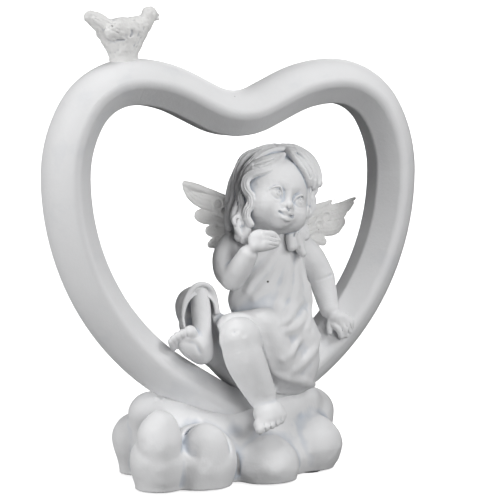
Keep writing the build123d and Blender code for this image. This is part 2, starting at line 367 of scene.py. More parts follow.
def show(clay, name, material, node, place=None):
    """The clay as a visible piece that replaces a node of the frame."""
    piece = clay.mesh(name, material, place)
    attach(piece, "root")
    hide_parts(node)


# -------------------- materials


class Nodes:
    """A short way to write a node material."""

    def __init__(self, name):
        self.material = bpy.data.materials.new(name)
        self.material.use_nodes = True
        self.tree = self.material.node_tree
        self.shader = self.tree.nodes["Principled BSDF"]

    def new(self, kind, inputs=None, **settings):
        node = self.tree.nodes.new(kind)
        for key, value in settings.items():
            setattr(node, key, value)
        for key, value in (inputs or {}).items():
            self.put(node.inputs[key], value)
        return node

    def put(self, socket, value):
        """Links a socket into another one, or sets its value."""
        if isinstance(value, bpy.types.NodeSocket):
            self.tree.links.new(value, socket)
        else:
            socket.default_value = value

    def surface(self, name, value):
        self.put(self.shader.inputs[name], value)

    def bump(self, height, strength, distance):
        """Bumps the surface by a height between 0 and 1, up to a distance in metres."""
        keys = {"Strength": strength, "Distance": distance, "Height": height}
        self.surface("Normal", self.new("ShaderNodeBump", keys).outputs["Normal"])

    def maths(self, operation, a, b=0.0, clamp=False):
        return self.new("ShaderNodeMath", {0: a, 1: b}, operation=operation, use_clamp=clamp).outputs[0]

    def spread(self, value, low, high, to_low=0.0, to_high=1.0):
        keys = {"Value": value, "From Min": low, "From Max": high, "To Min": to_low, "To Max": to_high}
        return self.new("ShaderNodeMapRange", keys).outputs["Result"]

    def mix(self, factor, a, b):
        keys = {"Factor": factor, "A": a, "B": b}
        return self.new("ShaderNodeMix", keys, data_type="RGBA").outputs["Result"]

    def noise(self, scale, detail=3.0, roughness=0.55):
        where = self.new("ShaderNodeTexCoord").outputs["Object"]
        keys = {"Vector": where, "Scale": scale, "Detail": detail, "Roughness": roughness}
        return self.new("ShaderNodeTexNoise", keys).outputs["Fac"]


def painted_resin(name, light, wash_and_shade, deep_shade, grain, pinholes, roughness):
    """Matte paint; thinned paint that stays in the recesses, with painted shade over it that turns warm dark
    brown in the most hollow spots; fine grain; and pinholes in a share of the cells, drawn near black as
    painted shade inside them.
    """
    m = Nodes(name)
    recess = m.new("ShaderNodeAttribute", attribute_name="recess").outputs["Fac"]
    patchy = m.noise(60.0)
    fine = m.noise(900.0)
    # How far into a recess each spot lies, with a little patchy noise; it sets where the thinned paint and
    # the painted shade darken the colour.
    wash_and_shade_depth = m.maths("ADD", recess, m.spread(patchy, 0.35, 0.65, -0.05, 0.05))
    washed_and_shaded = m.spread(wash_and_shade_depth, 0.02, 0.30)
    deepest_shade = m.spread(wash_and_shade_depth, 0.30, 0.75)
    base = m.mix(m.spread(patchy, 0.3, 0.7), light, [c * 0.965 for c in light[:3]] + [1])
    # Thinned paint and painted shade together: blue-grey in the creases and hollows.
    colour = m.mix(washed_and_shaded, base, wash_and_shade)
    # Painted shade: the most hollow spots turn warm dark brown, standing in for the shade that falls there.
    colour = m.mix(deepest_shade, colour, deep_shade)
    where = m.new("ShaderNodeTexCoord").outputs["Object"]
    cells = m.new("ShaderNodeTexVoronoi", {"Vector": where, "Scale": 260.0, "Randomness": 1.0})
    lot = m.new("ShaderNodeSeparateColor", {"Color": cells.outputs["Color"]}).outputs[0]
    chosen = m.maths("GREATER_THAN", lot, 1.0 - pinholes)
    hole = m.maths("MULTIPLY", chosen, m.spread(cells.outputs["Distance"], 0.16, 0.10))
    # Painted shade: the pinholes are drawn near black, as the shade inside them.
    colour = m.mix(hole, colour, (0.05, 0.045, 0.04, 1))
    m.surface("Base Color", colour)
    m.surface("Roughness", m.spread(fine, 0.3, 0.7, roughness - 0.06, roughness + 0.06))
    m.surface("Specular IOR Level", 0.35)
    height = m.maths("SUBTRACT", m.maths("MULTIPLY", fine, grain), m.maths("MULTIPLY", hole, 0.4))
    height = m.maths("ADD", height, m.maths("MULTIPLY", m.noise(230.0), grain * 1.6))
    m.bump(height, 0.6, 0.0004)
    return m.material


def pressed_felt():
    """Grey wool felt: crossed fibres, a little darker where it is packed."""
    m = Nodes("pressed_felt")
    fibres = m.noise(2600.0)
    lumps = m.noise(240.0)
    m.surface("Base Color", m.mix(fibres, (0.10, 0.10, 0.105, 1), (0.20, 0.20, 0.205, 1)))
    m.surface("Roughness", m.spread(lumps, 0.3, 0.7, 0.86, 0.98))
    m.surface("Sheen Weight", 0.3)
    height = m.maths("ADD", fibres, lumps)
    m.bump(height, 0.8, 0.0003)
    return m.material


def drawn_steel():
    """Bright rod with a faint mottle and fine drawing marks."""
    m = Nodes("drawn_steel")
    marks = m.noise(1800.0)
    mottle = m.noise(150.0)
    m.surface("Metallic", 1.0)
    m.surface("Base Color", m.mix(mottle, (0.50, 0.50, 0.51, 1), (0.62, 0.62, 0.63, 1)))
    m.surface("Roughness", m.spread(marks, 0.3, 0.7, 0.28, 0.42))
    m.bump(marks, 0.25, 0.0001)
    return m.material


# The two darker colours of each paint are thinned paint with painted shade in the recesses, and painted shade
# in the most hollow spots.
RESIN = painted_resin(
    "resin_paint",
    light=(0.755, 0.757, 0.765, 1),
    wash_and_shade=(0.50, 0.535, 0.59, 1),
    deep_shade=(0.27, 0.25, 0.235, 1),
    grain=0.35,
    pinholes=0.0015,
    roughness=0.62,
)
ROUGH = painted_resin(
    "rough_paint",
    light=(0.74, 0.737, 0.73, 1),
    wash_and_shade=(0.50, 0.51, 0.54, 1),
    deep_shade=(0.24, 0.22, 0.21, 1),
    grain=1.0,
    pinholes=0.02,
    roughness=0.72,
)
STEEL = drawn_steel()
CARRIED = {"heart_ring": RESIN, "felt_pads": pressed_felt()}
DOWELS = ("heart_dowels", "neck_dowel", "wing_dowels", "bird_dowel", "seat_dowel")
CARRIED.update({node: STEEL for node in DOWELS})


def paint_carried_nodes():
    for node, material in CARRIED.items():
        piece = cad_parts[node]
        piece.data.materials.clear()
        piece.data.materials.append(material)


# -------------------- head

HEAD_TURN = Euler((radians(-18), radians(20.5), radians(4))).to_matrix()  # looks up, leans and turns a little
HEAD_AT, HEAD_SCALE = (17.1, -4, 127.9), 1.01
SKULL = (0.5, 2.5, 5)
EYE_Z = -1.5
HEAD_BLOCK = ((-24, -21, -29), (26, 26, 32), HEAD_STEP)


def placed_head(points):
    """Points of the upright head, turned and set on the neck."""
    return (points * HEAD_SCALE) @ np.array(HEAD_TURN).T + np.array(HEAD_AT)


def sculpt_face(clay):
    """The plain child's face, looking along -Y, with its eye line just under z = 0."""
    clay.add(ellipsoid((0, 1, 4), (16.6, 16.6, 18)))
    clay.add(ellipsoid((0, -3, -2.6), (14.6, 12.8, 12.9)), 4)
    clay.add(ball((0, -4.4, 7), 12), 5)
    for side in (-1, 1):
        clay.add(ball((side * 7.9, -8, -6.8), 6.6), 4)
    clay.add(ball((0, -11.2, -12.3), 3.5), 3.5)
    clay.add(ellipsoid((0, -13.5, -9.6), (5.4, 2.8, 3.8)), 2.5)
    for side in (-1, 1):
        clay.cut(ellipsoid((side * 6.3, -18.2, EYE_Z + 0.2), (5, 3, 3.4)), 3.5)
        clay.cut(ellipsoid((side * 3, -17.2, EYE_Z - 0.6), (1.6, 1.6, 2.2)), 2)
        sculpt_eye(clay, side)
    clay.stroke([(0, -15, -0.6, 0.9), (0, -15.6, -3.2, 1), (0, -17, -5.6, 1.4)], 2.2)
    clay.add(ball((0, -17.5, -5.9), 1.55), 1)
    for side in (-1, 1):
        clay.add(ball((side * 2.1, -15.9, -6.3), 1.15), 0.9)
        clay.cut(ball((side * 0.95, -17.2, -7.35), 0.5), 0.3)
    sculpt_mouth(clay)


def sculpt_eye(clay, side):
    """An eyeball between two lids, with the iris and pupil engraved."""
    clay.add(ball((side * 6.2, -12, EYE_Z), 3.9), 0.4)
    upper = [(2.9, -14.6, -1.6, 0.25), (4, -15.8, 1.3, 0.5), (6.2, -16.2, 2.9, 0.6), (8.7, -15.1, 2.1, 0.5),
             (10.3, -13.2, 0, 0.3)]
    lower = [(2.9, -14.4, -1.6, 0.2), (4.4, -14.8, -3, 0.25), (6.4, -14.9, -3.6, 0.25),
             (8.7, -14.1, -2.6, 0.2), (10.3, -13, 0, 0.2)]
    crease = [(3, -15.4, 2.4, 0.25), (6.2, -16.4, 4.3, 0.3), (9.8, -14.6, 2.9, 0.25)]
    clay.stroke([(side * x, y, EYE_Z + z, r) for x, y, z, r in upper], 0.4)
    clay.stroke([(side * x, y, EYE_Z + z, r) for x, y, z, r in lower], 1)
    clay.carve([(side * x, y, EYE_Z + z, r) for x, y, z, r in crease], 0.8)
    gaze = np.array([side * 6.2 + 0.6, -16.1, EYE_Z + 0.5])
    iris = [(*(gaze + [1.8 * cos(a), 0.3, 1.9 * sin(a)]), 0.27) for a in np.linspace(0, 2 * pi, 13)]
    clay.cut(tube(clay.landed(iris), steps=3), 0.15)
    clay.cut(ball(clay.landed([(*(gaze + [0.1, 0, 0.2]), 0.6)])[0][:3], 0.62), 0.15)


def sculpt_mouth(clay):
    """Slightly open, with full lips."""
    clay.stroke([(-3.7, -14.9, -9.7, 0.5), (-1.4, -16.4, -9.1, 1.05), (0, -16.4, -9.6, 0.8),
                 (1.4, -16.4, -9.1, 1.05), (3.7, -14.9, -9.7, 0.5)], 0.6)
    clay.stroke([(-2.6, -15, -11.7, 0.8), (0, -15.9, -12.5, 1.35), (2.6, -15, -11.7, 0.8)], 0.5)
    clay.carve([(-3.7, -15.4, -9.9, 0.65), (-1.8, -16.6, -10.8, 0.6), (0, -16.9, -11.1, 0.55),
                (1.8, -16.6, -10.8, 0.7), (3.7, -15.2, -9.8, 0.85)], 0.15)
    clay.carve([(-2.2, -15.2, -14, 0.5), (0, -15.6, -14.3, 0.6), (2.2, -15.2, -14, 0.5)], 1.4)
    clay.carve([(0, -16.9, -7.9, 0.35), (0, -16.7, -8.6, 0.35)], 0.9)


# Locks of hair on the upright head: (x, y, z, radius) from the parting down
LOCKS = [
    # the wearer's right, outermost first
    [(0.4, -4, 26.8, 2.2), (-6, -1, 24.9, 3), (-11.4, 2, 21.4, 3.2), (-14.4, 4.6, 18.6, 3.2),
     (-15.6, 6.8, 13, 3.2), (-15.6, 8, 7.5, 3.1), (-15, 9, 2, 3), (-15, 9.6, -4, 3), (-15.6, 9, -10, 2.9),
     (-16.2, 7, -16, 2.4)],
    [(0.2, -6, 25.6, 1.7), (-6, -3.6, 23.6, 2.3), (-12, -3.4, 18.6, 2.4), (-15.4, -1.4, 13, 2.4),
     (-16.8, 0.8, 7.8, 2.3), (-16.6, 2.4, 3, 2.3), (-15.6, 2.6, -1.6, 2.2), (-15.6, 2.6, -6.2, 2.2),
     (-16.8, 2.2, -10.6, 2.1), (-17.6, 1.4, -14.4, 1.8)],
    [(-2.2, -8.6, 21.2, 1.3), (-8.6, -8.8, 17.2, 1.9), (-12.4, -7.6, 14.8, 2), (-15.2, -5.2, 12.4, 1.8),
     (-16.8, -2.8, 9.6, 1.5)],
    [(-3, -9.6, 19.4, 1.2), (-8.6, -10.4, 14.6, 1.6), (-12.2, -9.4, 11.8, 1.8), (-15.2, -6.4, 10.2, 1.6),
     (-17, -2.6, 8, 1.4)],
    [(-3.6, -10.6, 18.2, 1.1), (-8, -12.2, 12.4, 1.6), (-11.8, -11.2, 9.2, 2.1), (-15, -8.4, 7.6, 2.3),
     (-17.3, -5.4, 5.2, 2.4), (-17.8, -4.6, 1.8, 2.3), (-17.2, -5.8, -1.8, 2.3), (-15.6, -7.9, -4.8, 2.2),
     (-14.9, -8, -7.8, 2.1), (-15.4, -6.4, -10.8, 2), (-14.6, -5.4, -13.8, 2), (-12.2, -5.6, -16.6, 1.9)],
    [(-16.2, -1.5, 1, 1.5), (-16.8, -0.8, -3.4, 1.7), (-15.6, -1.2, -7.6, 1.8), (-15.8, -1.4, -11.6, 1.8),
     (-17.6, -1.8, -15.4, 1.7), (-17.2, -2.4, -19.4, 1.6), (-15, -3, -22.6, 1.5)],
    [(-13.8, 3, -6, 3), (-13.4, 2, -12, 3.1), (-13.4, 0.4, -18, 2.9), (-14.6, -1, -23, 2.2)],
    [(-12.6, -1.6, -14, 2.2), (-12, -2.6, -19, 2.3), (-13.2, -3, -24.4, 1.8)],
    [(-10.5, 5, -8, 3.4), (-9.4, 4, -15, 3.4), (-9, 3, -21, 2.8)],
    # the wearer's left
    [(0.6, -7.8, 23.4, 1.8), (4.2, -11, 18.4, 2.6), (7.4, -11.6, 14.2, 3), (10.4, -10.8, 10.4, 3),
     (12.8, -9.4, 7.4, 2.8), (14.8, -7.6, 3, 2.6)],
    [(0.6, -8.4, 24.2, 1.8), (2, -12, 20.6, 2.6), (4.4, -14.2, 17.4, 3), (7.4, -14.8, 14.4, 3.1),
     (9.6, -14.4, 11.8, 2.8), (11, -13.6, 10, 2.2)],
    [(0.8, -6.6, 25.6, 2), (4.8, -10.4, 23.6, 3), (8.8, -12.2, 20.4, 3.3), (12, -12.4, 16.6, 3.1),
     (13.8, -12, 13, 2.8), (14.6, -11.4, 10.6, 2.2)],
    [(1, -2, 27.8, 2.4), (7, -4.4, 27.4, 3.6), (12.6, -7, 24.2, 3.9), (16, -8.6, 19.8, 3.6),
     (17.6, -9.8, 15.8, 2.8), (18.2, -10.6, 13.2, 2), (16.8, -11.2, 11.8, 1.2)],
    [(1, 3, 27.2, 2.4), (8, 2, 26.4, 3.6), (14, 0.6, 21.6, 3.8), (16.2, -1.4, 15, 3.3), (15.6, -3, 9, 3),
     (15.4, -3.6, 3, 3), (15.6, -3.4, -4, 2.8), (15.8, -3, -10, 2.6), (17, -3, -15, 2.2)],
    [(15.4, -9.6, 11, 1.7), (17.2, -9.8, 10, 1.8), (16.8, -9.2, 8.2, 1.5), (15, -8.8, 7.2, 1.2)],
    [(16.2, -8.8, 6.8, 1.9), (18, -8.4, 3.2, 2.1), (18.2, -7.2, -0.6, 2.1), (16.8, -5.8, -3.8, 2.1),
     (16.4, -4.8, -6.8, 2), (18.2, -4.6, -9.6, 2), (19.6, -4.4, -12.4, 1.6)],
    [(15, -7.8, -1, 2.2), (14.4, -7.2, -5.4, 2.2), (13.4, -6.2, -9, 2.1), (13.2, -5.6, -12.6, 2),
     (15, -5.2, -15.6, 1.9), (17.6, -4.8, -17.4, 1.5)],
    [(16.2, -4, -8, 2.6), (16.6, -3.6, -13, 2.6), (17.8, -3.6, -17.4, 2)],
    [(12.6, -3, -8, 2.8), (11.6, -3.6, -14, 2.8), (12.8, -4, -19.6, 2.2)],
    [(14.6, -4.2, -13, 2.4), (16.4, -4.6, -18, 2.4), (19, -4.8, -21, 1.8)],
    # the back
    [(0, 6, 26, 2.6), (-7, 10, 22.4, 3.6), (-11.5, 13.5, 14, 3.8), (-12.6, 15, 5, 3.8),
     (-12.4, 14, -5, 3.6), (-12, 12, -14, 3.4), (-12.4, 9, -22, 2.6)],
    [(0, 9, 25.4, 2.6), (-3, 16, 20, 3.8), (-5, 19, 11, 4), (-5, 19, 1, 4), (-4.5, 17, -8, 3.8),
     (-4, 14, -16, 3.4), (-4.4, 11, -23, 2.6)],
    [(1, 9, 25.4, 2.6), (5, 16, 20, 3.8), (6, 19, 11, 4), (6, 19, 1, 4), (5, 17, -8, 3.8),
     (5, 14, -16, 3.4), (5.4, 11, -22, 2.6)],
    [(1, 6, 26, 2.6), (9, 10.5, 23, 3.6), (15, 13, 15, 3.8), (16.5, 13, 6, 3.8), (15.5, 12.5, -4, 3.6),
     (14, 10.5, -13, 3.4), (14.4, 8, -20, 2.6)],
]
LOCK_FLAT = 1.25  # how much wider than thick a lock is
CURL_AT, CURL_RADIUS, CURL_THICK = (-17.4, -2.8, -16.4), 2.7, 1
CURL_CLOSING = 0.19  # how fast the curl winds in, in millimetres per radian


def sculpt_hair(clay):
    """A cap that leaves the face open, the locks over it, and one curl by the wearer's right shoulder."""
    shell = Clay(*HEAD_BLOCK)
    shell.add(ellipsoid(SKULL, (16.6, 17, 20.6)))
    shell.cut(ellipsoid((-0.3, -17, -2), (13.2, 12, 16)), 1.5)
    shell.cut(ellipsoid((-1.8, -17.5, 8), (5, 8, 10.5)), 1.5)
    shell.cut(ellipsoid((0, -10, -26), (14, 20, 14)), 1.5)
    for lock in LOCKS:
        shell.add(tube(lock, LOCK_FLAT, SKULL), 0.6)
    shell.add(coiled_curl(), 0.5)
    engrave_strands(shell)
    clay.d = smooth_min(clay.d, shell.d, 0.35)


def coiled_curl():
    x, y, z = CURL_AT
    coil = []
    for angle in np.linspace(0, 3.2 * pi, 20):
        reach = CURL_RADIUS - CURL_CLOSING * angle
        coil.append((x + reach * cos(angle), y + 0.1 * angle, z + reach * sin(angle), CURL_THICK))
    return tube(coil, steps=2)


def engrave_strands(shell):
    """Fine grooves along each lock, side by side."""
    for lock in LOCKS:
        path = curve(lock, 4)
        out = path[:, :3] - np.array(SKULL)
        out /= np.linalg.norm(out, axis=1)[:, None]
        across = sideways(path, out)
        for share in (-0.6, -0.2, 0.25, 0.65):
            sway = share + 0.12 * np.sin(np.linspace(0, 5, len(path)) + RNG.uniform(0, 6))
            line = path[:, :3] + across * (sway * path[:, 3])[:, None]
            lift = np.sqrt(np.maximum(1 - sway**2, 0.1)) / 1.35
            line = line + out * (lift * path[:, 3])[:, None]
            width = np.clip(0.16 * path[:, 3], 0.2, 0.42)
            groove = np.c_[line, width][3:-4]
            shell.cut([segment(a, b) for a, b in zip(groove, groove[1:])], 0.35)


def make_head():
    clay = Clay(*HEAD_BLOCK)
    sculpt_face(clay)
    sculpt_hair(clay)
    clay.roughen(0.05, 1.6, 3)
    show(clay, "head", RESIN, "angel_head", placed_head)


# -------------------- body

# Ridges of the dress, as (x, y, z, radius): over the breast, down the side, across the lap and the skirt
FOLDS = [
    [(19.5, -12, 107, 0.9), (13.5, -13, 99, 1.5), (7.5, -13, 92, 1.5), (3.5, -14, 87, 0.7)],
    [(22.4, -12, 105, 0.8), (17, -14, 96, 1.5), (11, -14, 89, 1.7), (6, -15, 84, 0.7)],
    [(24.2, -12, 102, 0.8), (22.4, -13, 94, 1.5), (20.2, -14, 87, 1.7), (16, -15, 80, 1.4),
     (10.5, -15, 75, 0.7)],
    [(28.4, -11, 99, 0.7), (27.4, -13, 91, 1.3), (25.4, -14, 84, 1.4), (21, -14, 78, 1.2),
     (14.5, -15, 74, 0.7)],
    [(30, -9, 104, 0.6), (31, -10, 97, 1.2), (32.5, -10, 90, 1.2), (33, -10, 82, 0.6)],
    [(34.5, -7, 88, 0.6), (35, -8, 81, 1), (33, -9, 74, 1), (29, -12, 69, 0.5)],
    [(10, -16, 72.6, 0.5), (16, -16, 74.2, 1.2), (22, -15, 77, 1.1), (28, -13, 81, 0.5)],
    [(12, -16, 69.6, 0.5), (18, -17, 69.6, 1.1), (24, -17, 71.4, 0.9), (30, -15, 75, 0.4)],
    [(38, -8, 64, 0.6), (32, -13, 58, 1.1), (25, -17, 53.5, 1.1), (18, -20, 51.5, 0.5)],
    [(24, -19, 64, 0.5), (17, -21, 60, 1.1), (11, -22, 57, 0.5)],
]
# The rounded edge of the skirt, from the right thigh round the left knee
HEM = [(-12, -22, 76.2, 0.9), (-9, -25, 77.2, 1), (-5, -27, 77.2, 1), (-0.8, -28, 73.8, 1),
       (2.2, -28.6, 66, 1), (5.4, -28.8, 57.8, 1.1), (8.8, -28.8, 51.4, 1.2), (14, -27.8, 48, 1.3),
       (22.5, -25, 45.6, 1.4), (30.7, -20, 42.4, 1.3), (35.5, -14, 41, 1)]
# A point of the skirt's cut end, and the way it faces: down and forward
HEM_POINT, HEM_FACE = (14, -28.6, 47), (0.14, -0.76, -0.64)


def sculpt_torso(clay):
    """Belly, chest, neck and shoulders."""
    clay.add(ellipsoid((21.5, -4, 67), (16.4, 12.8, 15)))
    clay.add(ellipsoid((19.6, -3, 82), (18.8, 11.8, 16.5)), 5)
    clay.add(ellipsoid((13, 0, 82), (15.6, 9.6, 13)), 4)
    clay.add(ellipsoid((19.8, -1, 97.5), (16.4, 10, 13)), 5)
    clay.stroke([(20.5, -2, 119, 6.6), (20.7, -2, 108, 7.4)], 3)
    clay.stroke([(9, -1, 104, 6), (30, -1, 104.5, 6)], 4)


def sculpt_skirt(clay):
    """Cloth over both thighs and down in front of the ring, and the seat behind the legs."""
    clay.stroke([(27, -8, 64, 11.4), (13, -15, 68.6, 10.8), (1, -18.4, 69.4, 9.8), (-8, -18, 69.2, 9.2)], 5)
    clay.stroke([(27.8, -8, 61, 11.2), (27.4, -10, 53, 11.4), (26, -11, 47.5, 10.8)], 4)
    clay.stroke([(5.5, -22.6, 72, 7.6), (8.6, -23.8, 65.5, 7.5), (12, -23.6, 58, 7.4),
                 (15.5, -22.2, 52, 6.6)], 3)
    clay.stroke([(14, -14, 62, 10), (17, -17, 54, 9.6), (19, -17, 47, 9)], 4)
    clay.stroke([(14, -6, 67, 10), (2, -6, 67, 9), (-8, -5, 68, 7.6)], 4)
    clay.stroke([(8, -2, 57, 10), (-6, -1, 59, 9.6), (-14, 0, 64, 8.4)], 4)
    clay.stroke([(-12, 0, 60, 6), (-3, -1, 51, 7.6), (8, -2, 44, 8), (20, -2, 42, 8)], 3)


def sculpt_hood(clay):
    """The skirt's end over the raised right knee, open towards the foot."""
    arch = [(-29.4, -10, 71, 0.8), (-30.2, -10, 78, 0.9), (-28.6, -10, 84.8, 1.1), (-25, -10, 89.8, 1.2),
            (-20.4, -10, 91.3, 1.3), (-16.4, -10, 89.6, 1.2), (-13.8, -10, 85, 1), (-12.9, -11, 78, 0.9)]
    clay.stroke([(-19.2, 0, 79.5, 9.9), (-14, -1, 71, 7.4)], 3)
    clay.stroke([(-20.8, -4, 80.2, 9.6), (-20, 1, 71, 7)], 2)
    clay.carve([(-22.2, -14, 76, 8), (-21.6, -6.5, 80, 7.6)], 0.8)
    clay.carve([(-22.6, -15, 66, 9.2), (-22, -7, 72, 7.8)], 0.8)
    clay.stroke(arch, 2.4)


def sculpt_hem(clay):
    """The skirt's thick end, with a rounded edge and a slightly hollow face."""
    a, b, c = HEM_FACE
    x0, y0, z0 = HEM_POINT
    clay.keep(lambda x, y, z: a * (x - x0) + b * (y - y0) + c * (z - z0), 1.2)
    clay.carve([(12, -27, 38.5, 5), (22, -23, 36, 5.6), (33, -17, 33, 5)], 2.5)
    clay.add(tube(clay.landed(HEM, sink=0.8), steps=8), 2.4)


def make_body():
    clay = Clay((-36, -38, 31), (48, 16, 123), BODY_STEP)
    sculpt_torso(clay)
    sculpt_skirt(clay)
    sculpt_hood(clay)
    for fold in FOLDS:
        clay.stroke(clay.landed(fold, sink=0.75), 3)
    sculpt_hem(clay)
    clay.roughen(0.07, 3, 5)
    show(clay, "dress", RESIN, "angel_body")


# -------------------- limbs


def make_right_arm():
    """Bent, with the back of the hand under the chin."""
    clay = Clay((-19, -34, 80), (16, 10, 122), LIMB_STEP)
    clay.stroke([(-1.5, -1, 108, 6.2), (-6.2, -4, 103, 5.9), (-8.2, -9, 97, 5.6), (-7.2, -13, 94, 5.4)])
    clay.stroke([(-6.6, -14, 93.6, 5.4), (-4.6, -18.5, 99.5, 5.4), (-2.6, -22, 105.4, 4.5)], 1.6)
    clay.add(ellipsoid((2.2, -24.8, 112.2), (5.8, 3.6, 4.9), (0, 12, 0)), 1.6)
    clay.carve([(-6.8, -24.6, 109.6, 0.4), (-3.6, -27.4, 107.4, 0.5), (0.8, -26.8, 105.4, 0.4)], 1.2)
    for k, (x, z) in enumerate([(9.6, 113.8), (10.6, 112), (9.8, 110.4)]):
        root = (3.6, -26.6 - 0.4 * k, 115 - 1.9 * k, 2)
        knuckle = (7, -27.2 - 0.4 * k, 114.8 - 1.8 * k, 1.75)
        clay.add(tube([root, knuckle, (x, -26.8 - 0.3 * k, z, 1.15)], steps=4), 0.5)
    thumb = [(-0.8, -26.2, 109.6, 2.5), (4, -27.2, 109.3, 2.1), (8.2, -27.3, 109.6, 1.4)]
    clay.add(tube(thumb, steps=4), 1.8)
    for k in range(3):
        slit = [(5.6 - 0.6 * k, -28.6, 114 - 1.9 * k, 0.22), (9.6 - 0.4 * k, -28, 112.9 - 1.7 * k, 0.3)]
        clay.carve(clay.landed(slit), 0.2)
    clay.roughen(0.05, 2.4, 11)
    show(clay, "right_arm_cast", RESIN, "right_arm")


def make_left_arm():
    """Nearly straight, with the hand resting on the ring."""
    clay = Clay((28, -24, 58), (60, 10, 114), LIMB_STEP)
    clay.stroke([(34.8, -0.5, 105, 7), (38.4, -2, 100.5, 7.2), (42, -3, 95, 6.6), (43.6, -3.5, 91.5, 6.2)])
    clay.stroke([(44, -4, 90.5, 6.1), (44.6, -6.5, 84, 5.6), (44.8, -10.5, 76.5, 4.6)], 1.4)
    clay.carve([(38, -8.4, 90, 0.4), (42.5, -10.6, 91.3, 0.5), (47.5, -9, 93, 0.4)], 1)
    clay.add(ellipsoid((48.2, -14.4, 70.8), (5.6, 3.5, 5.2), (25, 0, -25)), 1.6)
    clay.carve([(41.2, -14.2, 73.4, 0.35), (44, -16.2, 74.6, 0.5), (47.2, -15.8, 76.6, 0.35)], 0.9)
    roots = np.array([(45.4, -15.4, 69), (47.8, -16.2, 70.4), (50, -16.2, 71.6), (51.6, -15.6, 72.2)])
    tips = np.array([(47.8, -17.4, 64), (50.2, -17.8, 64.6), (52.2, -17.6, 66.4), (53.4, -16.8, 68.4)])
    for root, tip in zip(roots, tips):
        middle = (root + tip) / 2 + [0.4, -0.8, 0.4]
        clay.add(tube([(*root, 1.8), (*middle, 1.7), (*tip, 1.45)], steps=4), 1.1)
    for root, tip in zip((roots[:-1] + roots[1:]) / 2, (tips[:-1] + tips[1:]) / 2):
        slit = [(*(root * 0.7 + tip * 0.3), 0.25), (*(tip + [0, 0, -1.2]), 0.42)]
        clay.carve(clay.landed(slit), 0.2)
    clay.add(tube([(44.4, -13, 70.5, 1.8), (43.5, -13.6, 67.8, 1.6), (43.4, -14.2, 65.6, 1.2)], steps=4), 0.8)
    clay.roughen(0.05, 2.4, 12)
    show(clay, "left_arm_cast", RESIN, "left_arm")


def make_left_leg():
    """The knee, the calf in front of the ring, and the foot on the cloud."""
    clay = Clay((-24, -46, 21), (20, -6, 85), LEG_STEP)
    clay.stroke([(0, -21, 68, 7.6), (-6, -24, 68.4, 8.2)])
    clay.add(ball((-9.2, -26.4, 68.8), 8.3), 2)
    clay.stroke([(-8.8, -26.4, 66.4, 8.7), (-6.8, -27.6, 58.5, 9.2), (-2.8, -28, 49.5, 8.3),
                 (1.6, -28, 41, 6.9)], 3)
    clay.add(ellipsoid((3.2, -32.4, 33.2), (7.4, 6.6, 5.4), (28, -15, 0)), 2)
    clay.add(ellipsoid((2.6, -35.2, 30.2), (8.4, 3.8, 3.6), (28, -15, 0)), 1.5)
    clay.carve([(-4.4, -34.4, 41, 0.35), (1, -35.8, 40.4, 0.5), (8.4, -34, 42.2, 0.45)], 1.2)
    clay.carve([(-14.4, -33, 71.6, 0.3), (-12.4, -35.2, 72.6, 0.35), (-10.6, -35.6, 70.6, 0.3)], 2.2)
    clay.carve([(-0.6, -34.4, 66.6, 0.4), (1.2, -33, 63.4, 0.5), (2.6, -32, 60, 0.4)], 1.8)
    toes = [(-3.8, -38.2, 26.6, 2.2), (-0.9, -38.6, 27.4, 1.75), (1.9, -38.4, 28.2, 1.7),
            (4.7, -37.8, 29, 1.65), (7.4, -36.8, 29.9, 1.6)]
    for x, y, z, size in toes:
        clay.stroke([(x + 0.6, y + 2.8, z + 2, size), (x, y, z, size)], 0.9)
    for (xa, ya, za, _), (xb, yb, zb, _) in zip(toes, toes[1:]):
        x, y, z = (xa + xb) / 2, (ya + yb) / 2, (za + zb) / 2
        clay.carve(clay.landed([(x + 0.5, y, z + 2.4, 0.2), (x + 0.2, y, z - 0.8, 0.36)]), 0.2)
    clay.roughen(0.05, 2.6, 13)
    show(clay, "left_leg_cast", RESIN, "left_leg")


def make_right_leg():
    """The shin under the hood of the skirt, and the sole turned to the viewer."""
    clay = Clay((-43, -26, 50), (-8, 6, 96), LIMB_STEP)
    clay.stroke([(-20.5, -7, 86.5, 4.4), (-20.7, -9, 79, 4.6), (-21, -11, 71, 4.4), (-21.4, -12, 64, 5.2)])
    clay.stroke([(-21.6, -12.2, 59.6, 4.8), (-25.8, -13.6, 62.8, 6.2), (-30.2, -14.2, 66.2, 5.4)], 2)
    clay.add(ball((-22, -12.6, 59.4), 5), 2)
    toes = [(-29.6, -17.2, 70.4, 3.1), (-33.2, -17.2, 69.8, 2.2), (-35.6, -16.8, 68.8, 2),
            (-37.4, -16.4, 67.6, 1.8), (-38.6, -16, 66.4, 1.5)]
    for x, y, z, size in toes:
        clay.stroke([(x + 2.6, y + 2.6, z - 3.4, size), (x, y, z, size)], 0.25)
    clay.carve([(-25, -19.6, 60.5, 0.3), (-28, -20.2, 65, 0.4), (-33, -19.4, 66.2, 0.3)], 2.4)
    clay.roughen(0.05, 2.4, 14)
    show(clay, "right_leg_cast", RESIN, "right_leg")


# -------------------- wings

BARBS = (-0.6, -0.2, 0.2, 0.6)  # where the engraved lines run across a feather, as shares of its half width
FEATHER_FLAT = 2.6  # how much wider than thick a feather is
RIGHT_WING_FACE, LEFT_WING_FACE = (0.225, 0.974, 0), (-0.225, 0.974, 0)
